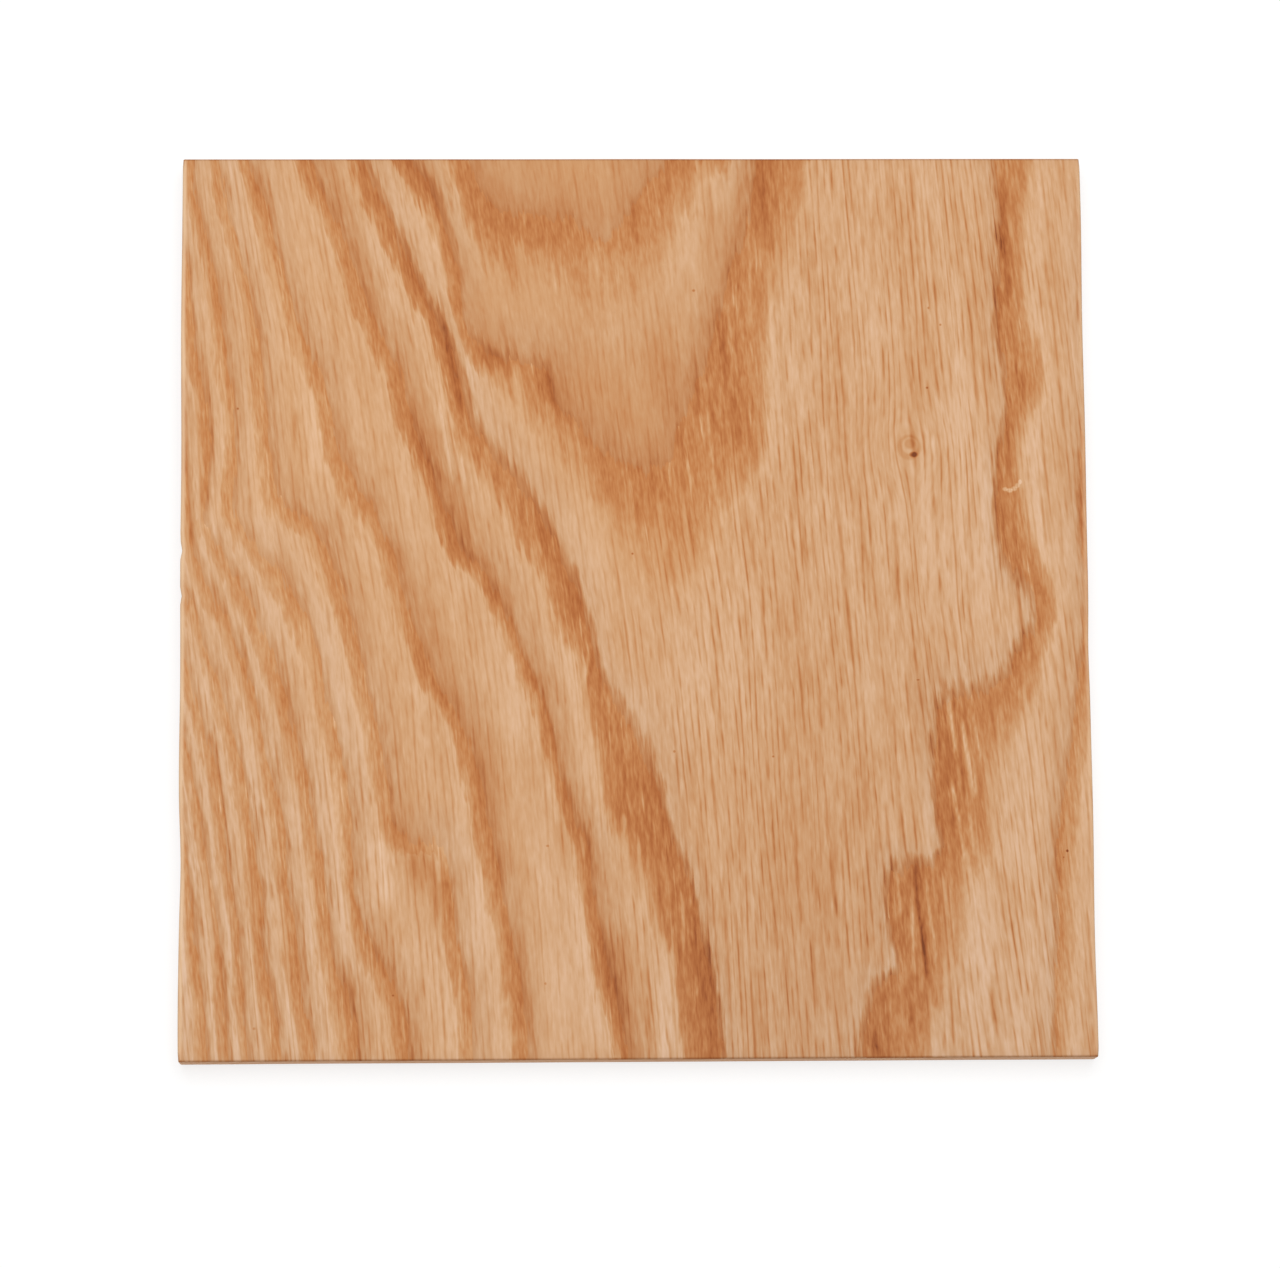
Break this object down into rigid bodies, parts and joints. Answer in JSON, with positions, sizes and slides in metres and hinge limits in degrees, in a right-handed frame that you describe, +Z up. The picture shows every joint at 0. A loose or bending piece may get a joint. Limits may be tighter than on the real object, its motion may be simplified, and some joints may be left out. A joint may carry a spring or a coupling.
{
  "type": "ash wood square",
  "caption": "Thin flat-sawn ash wood square with hand-sanded, rounded edges, used as a small panel, inlay or craft blank.",
  "frame": {"origin": "middle of the underside", "axes": "+X across the grain, to the right in the picture; +Y along the grain, to the top of the picture; +Z up through the thickness to the show face"},
  "size_m": [0.1, 0.1, 0.004],
  "materials": {
    "ash_wood": "bare, fine-sanded, satin"
  },
  "bodies": {
    "root": {"ash_square": "ash_wood"}
  },
  "joints": []
}
